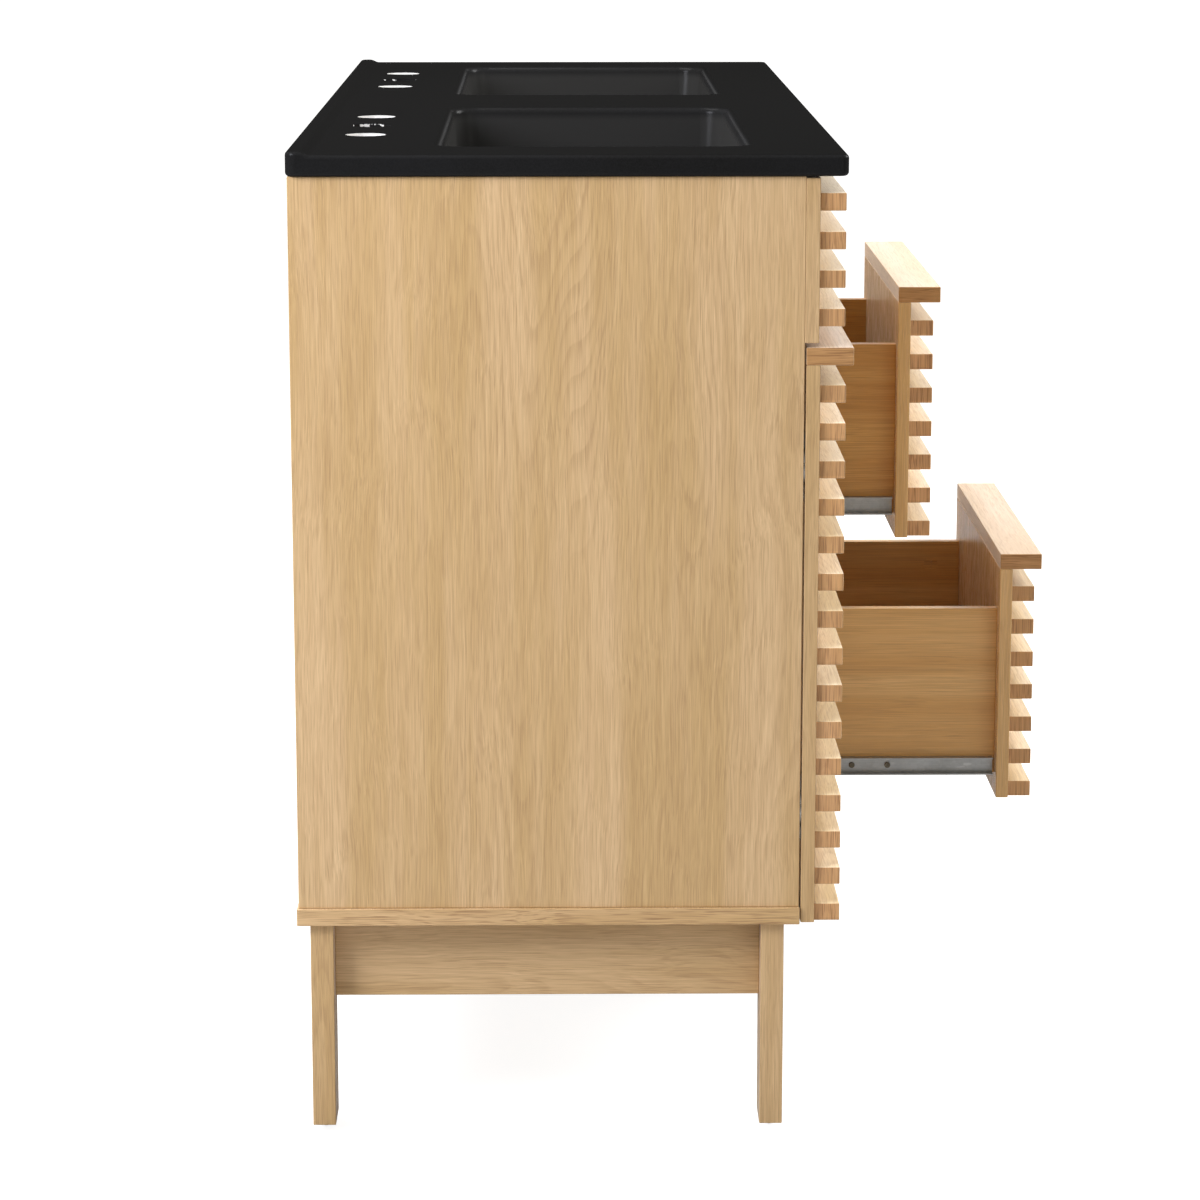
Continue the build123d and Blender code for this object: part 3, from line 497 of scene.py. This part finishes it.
def glazed_black():
    """Satin black glaze over white clay, matt on the deck, with some shine on edges and basin walls; the
    deck has painted shade and the basins painted light.
    """
    made, tree, shader = new_material("black_glaze")
    coordinates = node(tree, "ShaderNodeTexCoord")
    place = coordinates.outputs["Object"]
    mottle = use_group(tree, MOTTLE, {"Vector": place, "Cloud Scale": 7.0, "Speckle Scale": 900.0})
    cloud, speckle = mottle.outputs["Cloud"], mottle.outputs["Speckle"]
    low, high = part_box("sink_top")
    deck = high.z - BEAD_TALL
    white_clay_and_glints = bare_clay_and_painted_glints(tree, place, deck, high)
    in_basin = inside_basins(tree, place, deck, high)
    tilt = node(tree, "ShaderNodeSeparateXYZ", {0: coordinates.outputs["Normal"]}).outputs["Z"]

    glaze = blend_colours(tree, cloud, GLAZE_BLACK, GLAZE_CLOUD)
    glaze = blend_colours(tree, sums(tree, "MULTIPLY", speckle, 0.25), glaze, GLAZE_SPECK)
    # painted light: the basins are set greyer than the deck, lightest on their walls
    inside = blend_colours(tree, spread(tree, tilt, 0.4, 0.95), GLAZE_BASIN_PAINTED_LIGHT, GLAZE_BASIN_FLOOR)
    glaze = blend_colours(tree, in_basin, glaze, inside)
    # painted shade: the flat deck is set the darkest
    deck_painted_shade = sums(tree, "MULTIPLY", spread(tree, tilt, 0.6, 0.97), sums(tree, "SUBTRACT", 1.0, in_basin))
    glaze = blend_colours(tree, deck_painted_shade, glaze, GLAZE_DECK_PAINTED_SHADE)
    clay = blend_colours(tree, speckle, BISQUE, BISQUE_SPECK)
    rough = sums(tree, "MULTIPLY_ADD", cloud, 0.06, 0.52)
    rough = sums(tree, "ADD", rough, sums(tree, "MULTIPLY", speckle, 0.03))
    rough = sums(tree, "ADD", rough, sums(tree, "MULTIPLY", white_clay_and_glints, 0.4))
    ripple = sums(tree, "ADD", noise(tree, place, 55.0, 2.0), sums(tree, "MULTIPLY", speckle, 0.12))
    bump = node(tree, "ShaderNodeBump", {"Strength": 0.10, "Distance": 0.0006, "Height": ripple})
    shine = spread(tree, tilt, 0.35, 0.85, 0.15, 0.0)
    shine = sums(tree, "MULTIPLY", shine, sums(tree, "SUBTRACT", 1.0, white_clay_and_glints))
    join(tree, shader.inputs["Base Color"], blend_colours(tree, white_clay_and_glints, glaze, clay))
    join(tree, shader.inputs["Roughness"], rough)
    join(tree, shader.inputs["Coat Weight"], shine)
    join(tree, shader.inputs["Normal"], bump.outputs[0])
    shader.inputs["Coat Roughness"].default_value = 0.22
    shader.inputs["Specular IOR Level"].default_value = 0.0
    return made


dress(["sink_top"], glazed_black())


# ---------------------------------------------------------------- metal and plastic
PLATED_METAL = 0.95


def plated(name, colour, grain, rough=0.32, spangle=0.0):
    """Plated steel with rolling marks, faint scratches and, on galvanising, a soft spangle."""
    made, tree, shader = new_material(name)
    place = node(tree, "ShaderNodeTexCoord").outputs["Object"]
    marks = use_group(tree, BRUSHED, {"Vector": along_grain(tree, place, grain)})
    mottle = use_group(tree, MOTTLE, {"Vector": place, "Cloud Scale": 45.0, "Speckle Scale": 1400.0})
    dull = tuple(part * 0.80 for part in colour)
    tint = blend_colours(tree, marks.outputs["Marks"], dull, colour)
    dusky = tuple(part * 0.7 for part in colour)
    tint = blend_colours(tree, sums(tree, "MULTIPLY", mottle.outputs["Cloud"], 0.35), tint, dusky)
    cells = node(tree, "ShaderNodeTexVoronoi", {"Vector": place, "Scale": 320.0})
    grey = node(tree, "ShaderNodeSeparateColor", {0: cells.outputs["Color"]}).outputs[0]
    bright = spread(tree, grey, 0.0, 1.0, 1.0 - spangle, 1.0 + spangle, smooth=False)
    tone = node(tree, "ShaderNodeCombineXYZ", {0: bright, 1: bright, 2: bright}).outputs[0]
    tint = blend_colours(tree, 1.0, tint, tone, "MULTIPLY")
    scratched = sums(tree, "MULTIPLY", marks.outputs["Scratch"], 0.3)
    tint = blend_colours(tree, scratched, tint, SCRATCH_BRIGHT)
    worn = sums(tree, "MULTIPLY_ADD", marks.outputs["Marks"], 0.12, rough)
    worn = sums(tree, "MULTIPLY_ADD", mottle.outputs["Cloud"], 0.08, worn)
    height = marks.outputs["Marks"]
    bump = node(tree, "ShaderNodeBump", {"Strength": 0.15, "Distance": 0.0001, "Height": height})
    join(tree, shader.inputs["Base Color"], tint)
    join(tree, shader.inputs["Roughness"], worn)
    shader.inputs["Metallic"].default_value = PLATED_METAL
    join(tree, shader.inputs["Normal"], bump.outputs[0])
    return made


def moulded(name, colour, rough=0.45, grain_scale=2200.0):
    """Moulded plastic with a fine spark-eroded texture."""
    made, tree, shader = new_material(name)
    place = node(tree, "ShaderNodeTexCoord").outputs["Object"]
    mottle = use_group(tree, MOTTLE, {"Vector": place, "Cloud Scale": 60.0, "Speckle Scale": grain_scale})
    scuffed = tuple(min(1.0, part * 1.5 + 0.01) for part in colour)
    tint = blend_colours(tree, sums(tree, "MULTIPLY", mottle.outputs["Cloud"], 0.5), colour, scuffed)
    height = mottle.outputs["Speckle"]
    bump = node(tree, "ShaderNodeBump", {"Strength": 0.3, "Distance": 0.00008, "Height": height})
    join(tree, shader.inputs["Base Color"], tint)
    join(tree, shader.inputs["Roughness"], sums(tree, "MULTIPLY_ADD", mottle.outputs["Speckle"], 0.1, rough))
    join(tree, shader.inputs["Normal"], bump.outputs[0])
    return made


levels = ("upper", "lower")
sides = ("left", "right")
runner_steel = plated("galvanised_runner", ZINC, "Y", rough=0.34, spangle=0.05)
dress(["cabinet_runners", *[f"{level}_drawer_runners" for level in levels]], runner_steel)
dress([f"{level}_ball_cages" for level in levels], plated("cage_steel", ZINC, "Y", rough=0.22))
dress(["leg_brackets"], plated("galvanised_bracket", ZINC, "X", rough=0.4, spangle=0.14))
hinge_parts = [f"{side}_hinge_{part}" for side in sides for part in ("cups", "arms", "links")]
dress(hinge_parts, plated("nickel_hinge", NICKEL, "Y", rough=0.2))
dress(["hardware_screws"], plated("zinc_screw", ZINC, "X", rough=0.28))


CAP_REACH = 0.172  # from the middle: all that shows of the locks lies inside, the runner screws outside


def capped_fasteners():
    """Bronzed runner screws on the outsides of the drawers, and oak caps over the locks on the insides."""
    made = plated("bronze_screw_oak_cap", SCREW_BRONZE, "X", rough=0.30)
    tree = made.node_tree
    shader = tree.nodes["Principled BSDF"]
    bronze = shader.inputs["Base Color"].links[0].from_socket
    place = node(tree, "ShaderNodeTexCoord").outputs["Object"]
    aside = sums(tree, "ABSOLUTE", node(tree, "ShaderNodeSeparateXYZ", {0: place}).outputs["X"])
    is_cap = sums(tree, "LESS_THAN", aside, CAP_REACH)
    cap = use_group(tree, OAK_FIGURE, {"Vector": along_grain(tree, place, "Y"), "Pale": DRAWER_PALE})
    cap.inputs["Mid"].default_value = (*DRAWER_MID, 1)
    cap.inputs["Line"].default_value = (*DRAWER_LINE, 1)
    join(tree, shader.inputs["Base Color"], blend_colours(tree, is_cap, bronze, cap.outputs["Color"]))
    join(tree, shader.inputs["Metallic"], sums(tree, "MULTIPLY_ADD", is_cap, -PLATED_METAL, PLATED_METAL))
    return made


dress([f"{level}_drawer_fasteners" for level in levels], capped_fasteners())
dress(["cam_locks"], plated("cam_zinc", CAM_GREY, "Z", rough=0.42, spangle=0.06))
dress(["leg_glides"], moulded("black_nylon", NYLON_BLACK))
dress(["door_bumpers"], moulded("clear_bumper", BUMPER_CLEAR, rough=0.3, grain_scale=900.0))


# ---------------------------------------------------------------- studio
FLOOR_HALF = 45.0
FLOOR_GREY = (0.40, 0.40, 0.40, 1)
FLOOR_GLOW = 0.90
ROOM_DIM, ROOM_BRIGHT = 0.15, 0.68  # as light, at the horizon and overhead
BACKDROP = 1.05  # as the camera sees it
WHITE = (1.0, 1.0, 1.0)
COOL = (1.0, 1.03, 1.13)
WARM = (1.0, 0.975, 0.915)
low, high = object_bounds()


def pale_floor():
    """A wide pale floor just under the glides, lifted to near white where the camera sees it."""
    bm = bmesh.new()
    bmesh.ops.create_grid(bm, x_segments=1, y_segments=1, size=FLOOR_HALF)
    mesh = bpy.data.meshes.new("studio_floor")
    bm.to_mesh(mesh)
    bm.free()
    floor = bpy.data.objects.new("studio_floor", mesh)
    bpy.context.scene.collection.objects.link(floor)
    made, tree, shader = new_material("studio_white")
    shader.inputs["Base Color"].default_value = FLOOR_GREY
    shader.inputs["Roughness"].default_value = 0.9
    shader.inputs["Specular IOR Level"].default_value = 0.0
    shader.inputs["Emission Strength"].default_value = FLOOR_GLOW
    seen = node(tree, "ShaderNodeLightPath").outputs["Is Camera Ray"]
    join(tree, shader.inputs["Emission Color"], blend_colours(tree, seen, (0.0, 0.0, 0.0), WHITE))
    mesh.materials.append(made)


def soft_light(name, place, aim, size, power, tint):
    """A square soft box turned towards a point."""
    lamp = bpy.data.lights.new(name, "AREA")
    lamp.shape = "SQUARE"
    lamp.size = size
    lamp.energy = power
    lamp.color = tint
    made = bpy.data.objects.new(name, lamp)
    made.location = place
    made.rotation_euler = (Vector(aim) - Vector(place)).to_track_quat("-Z", "Y").to_euler()
    made.visible_camera = False
    bpy.context.scene.collection.objects.link(made)


def white_world():
    """Plain white surroundings to the camera; as light, bright overhead and dim towards the horizon."""
    world = bpy.data.worlds.new("studio_world")
    world.use_nodes = True
    bpy.context.scene.world = world
    tree = world.node_tree
    seen = node(tree, "ShaderNodeLightPath").outputs["Is Camera Ray"]
    toward = node(tree, "ShaderNodeTexCoord").outputs["Generated"]
    up = node(tree, "ShaderNodeSeparateXYZ", {0: toward}).outputs["Z"]
    room = spread(tree, up, 0.05, 0.75, ROOM_DIM, ROOM_BRIGHT)
    strength = sums(tree, "MAXIMUM", room, sums(tree, "MULTIPLY", seen, BACKDROP))
    back = tree.nodes["Background"]
    join(tree, back.inputs["Color"], blend_colours(tree, seen, WARM, WHITE))
    join(tree, back.inputs["Strength"], strength)


pale_floor()
white_world()
middle = (low + high) / 2
# name, place, point it is turned to, side of the box, power, tint
LIGHTS = (
    ("overhead", (0.1, 0.8, 2.9), middle, 1.4, 85.0, WHITE),
    ("near_end", (-1.55, 1.5, 1.6), (-0.6, 0.15, 0.6), 0.9, 40.0, COOL),
    ("front_left", (-2.7, -2.0, 1.2), (-0.3, -0.2, 0.4), 1.4, 6.0, WARM),
    ("far_end", (3.4, -0.4, 1.5), (0.2, -0.2, 0.5), 1.8, 16.0, WHITE),
    ("fronts", (0.6, -2.5, 2.3), middle, 1.6, 120.0, WHITE),
)
for light in LIGHTS:
    soft_light(*light)

# ---------------------------------------------------------------- camera: off the left end, slightly above
CAMERA_BACK = 3.0200  # from the left edge of the basin top
CAMERA_SIDE = 0.1222
CAMERA_HEIGHT = 1.1231
CAMERA_TILT = 0.1936
CAMERA_TURN = -0.0123
CAMERA_LENS = 108.98
CAMERA_SHIFT = -0.05
CAMERA_SENSOR = 36.0
lens = bpy.data.cameras.new("studio_camera")
lens.lens = CAMERA_LENS
lens.sensor_width = CAMERA_SENSOR
lens.shift_y = CAMERA_SHIFT
camera = bpy.data.objects.new("studio_camera", lens)
camera.location = (low.x - CAMERA_BACK, CAMERA_SIDE, CAMERA_HEIGHT)
camera.rotation_euler = Euler((math.pi / 2 - CAMERA_TILT, 0.0, CAMERA_TURN - math.pi / 2), "XYZ")
bpy.context.scene.collection.objects.link(camera)
bpy.context.scene.camera = camera
bpy.context.scene.view_settings.view_transform = "Standard"
